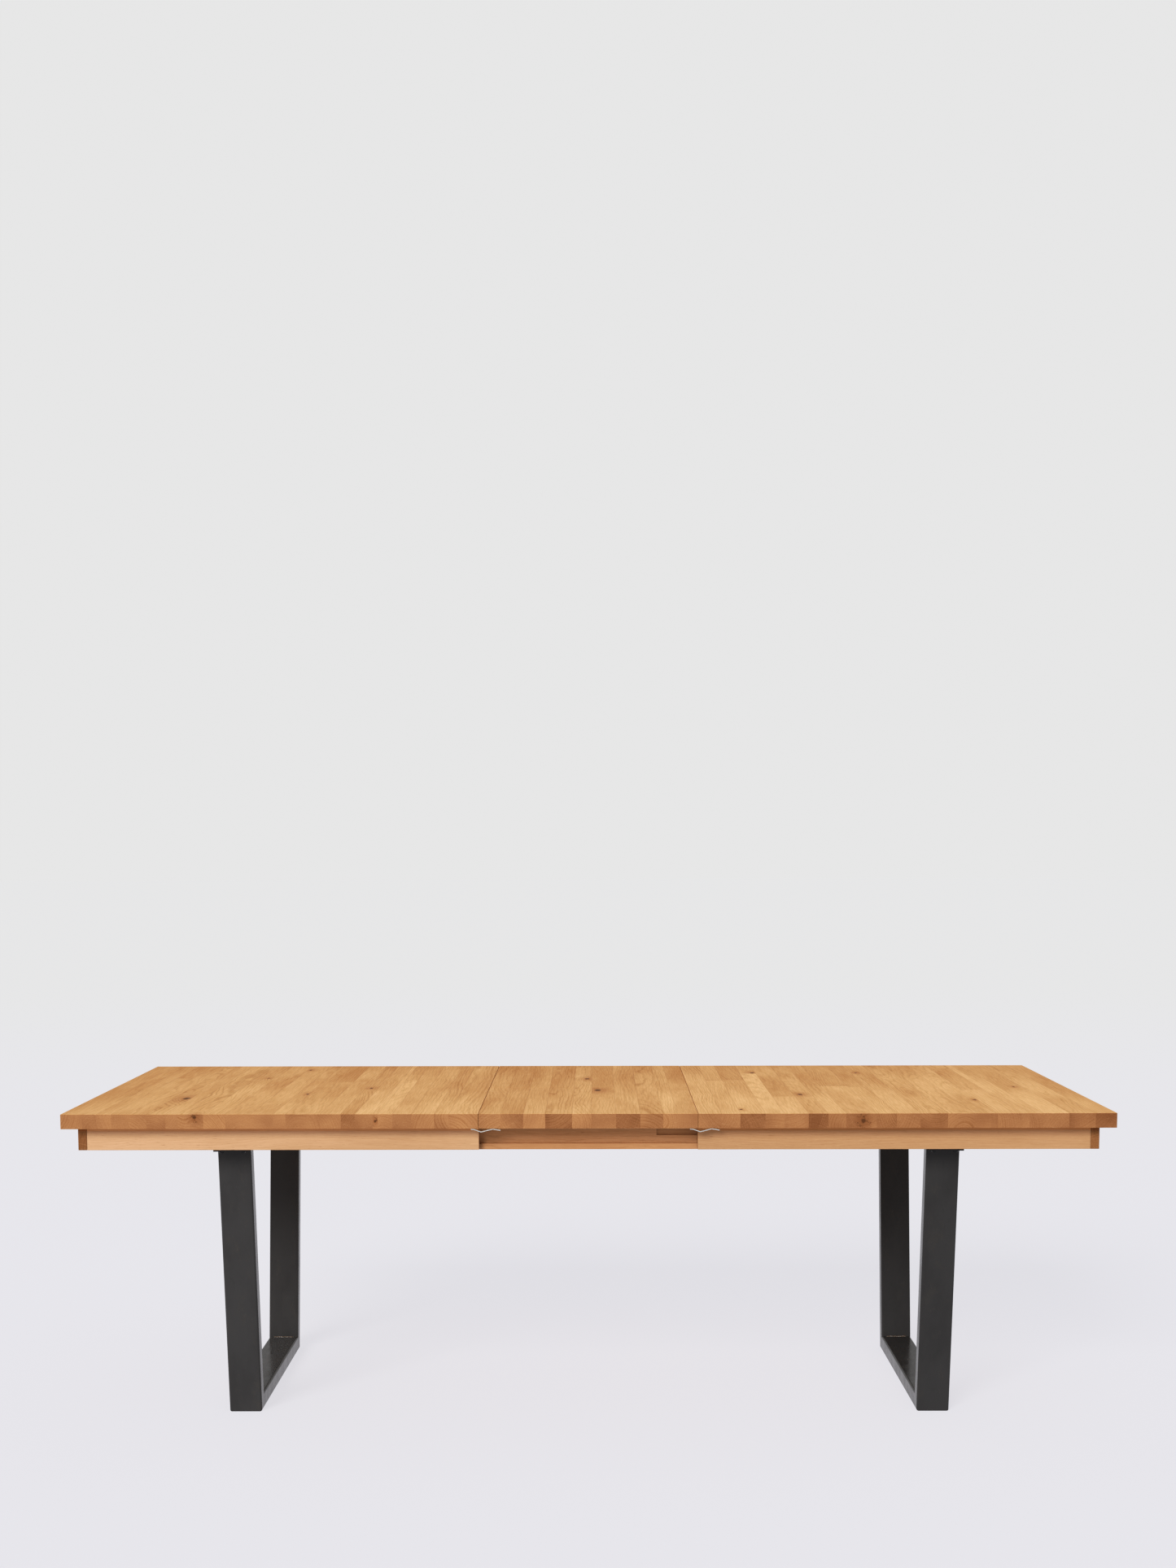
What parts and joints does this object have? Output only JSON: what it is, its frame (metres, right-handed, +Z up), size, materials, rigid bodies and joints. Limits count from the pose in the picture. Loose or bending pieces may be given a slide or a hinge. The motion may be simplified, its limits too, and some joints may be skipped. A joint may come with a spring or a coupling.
{
  "type": "extendable dining table",
  "caption": "Long rectangular oak dining table opened out: two sliding half tops, a folding butterfly leaf between them, fixed grooved rails and black steel trapezoid leg frames.",
  "frame": {"origin": "on the floor, under the middle of the top", "axes": "+X along the table's length, +Y from the near long edge to the far one, +Z up"},
  "size_m": [2.4, 1, 0.747],
  "materials": {
    "oak_top": "oiled, satin, staves glued edge to edge",
    "oak_apron": "oiled, matt, straight grain",
    "oak_rail": "oiled, matt",
    "black_steel": "blackened raw steel under clear lacquer, satin",
    "spring_steel": "bright, thin strip",
    "zinc_steel": "zinc plated"
  },
  "bodies": {
    "underframe": {"rail_front": "oak_rail", "rail_rear": "oak_rail", "cross_rail_left_inner": "oak_rail", "cross_rail_left_outer": "oak_rail", "leg_plate_left": "black_steel", "foot_bar_left": "black_steel", "pivot_pin_left": "zinc_steel", "upright_left_front": "black_steel", "upright_left_rear": "black_steel", "plate_screw_left_front_1": "zinc_steel", "plate_screw_left_front_2": "zinc_steel", "plate_screw_left_rear_1": "zinc_steel", "plate_screw_left_rear_2": "zinc_steel", "cross_rail_right_inner": "oak_rail", "cross_rail_right_outer": "oak_rail", "leg_plate_right": "black_steel", "foot_bar_right": "black_steel", "pivot_pin_right": "zinc_steel", "upright_right_front": "black_steel", "upright_right_rear": "black_steel", "plate_screw_right_front_1": "zinc_steel", "plate_screw_right_front_2": "zinc_steel", "plate_screw_right_rear_1": "zinc_steel", "plate_screw_right_rear_2": "zinc_steel"},
    "left_top": {"panel_left": "oak_top", "apron_left_end": "oak_apron", "apron_left_front": "oak_apron", "runner_left_front": "oak_apron", "corner_block_left_front": "oak_apron", "clip_left_front": "spring_steel", "apron_left_rear": "oak_apron", "runner_left_rear": "oak_apron", "corner_block_left_rear": "oak_apron", "clip_left_rear": "spring_steel"},
    "right_top": {"panel_right": "oak_top", "apron_right_end": "oak_apron", "apron_right_front": "oak_apron", "runner_right_front": "oak_apron", "corner_block_right_front": "oak_apron", "clip_right_front": "spring_steel", "apron_right_rear": "oak_apron", "runner_right_rear": "oak_apron", "corner_block_right_rear": "oak_apron", "clip_right_rear": "spring_steel"},
    "rear_leaf": {"leaf_rear": "oak_top", "hinge_barrel_rear_left": "zinc_steel", "hinge_barrel_rear_right": "zinc_steel", "pivot_arm_left": "zinc_steel", "pivot_arm_right": "zinc_steel", "arm_screw_left": "zinc_steel", "arm_screw_right": "zinc_steel"},
    "front_leaf": {"leaf_front": "oak_top", "hinge_barrel_front_left": "zinc_steel", "hinge_barrel_front_right": "zinc_steel"}
  },
  "joints": [
    {"name": "left_top_slide", "type": "slide", "parent": "underframe", "child": "left_top", "axis": [-1, 0, 0], "range_m": [0, 0.04]},
    {"name": "right_top_slide", "type": "slide", "parent": "underframe", "child": "right_top", "axis": [1, 0, 0], "range_m": [0, 0.04]},
    {"name": "leaf_pivot", "type": "hinge", "parent": "underframe", "child": "rear_leaf", "pos_m": [0, 0.125, 0.705], "axis": [1, 0, 0], "range_deg": [0, 90]},
    {"name": "leaf_fold", "type": "hinge", "parent": "rear_leaf", "child": "front_leaf", "pos_m": [0, 0, 0.7473], "axis": [-1, 0, 0], "range_deg": [0, 180]}
  ],
  "couplings": [
    {"joint": "leaf_fold", "follows": "leaf_pivot", "ratio": 2}
  ]
}
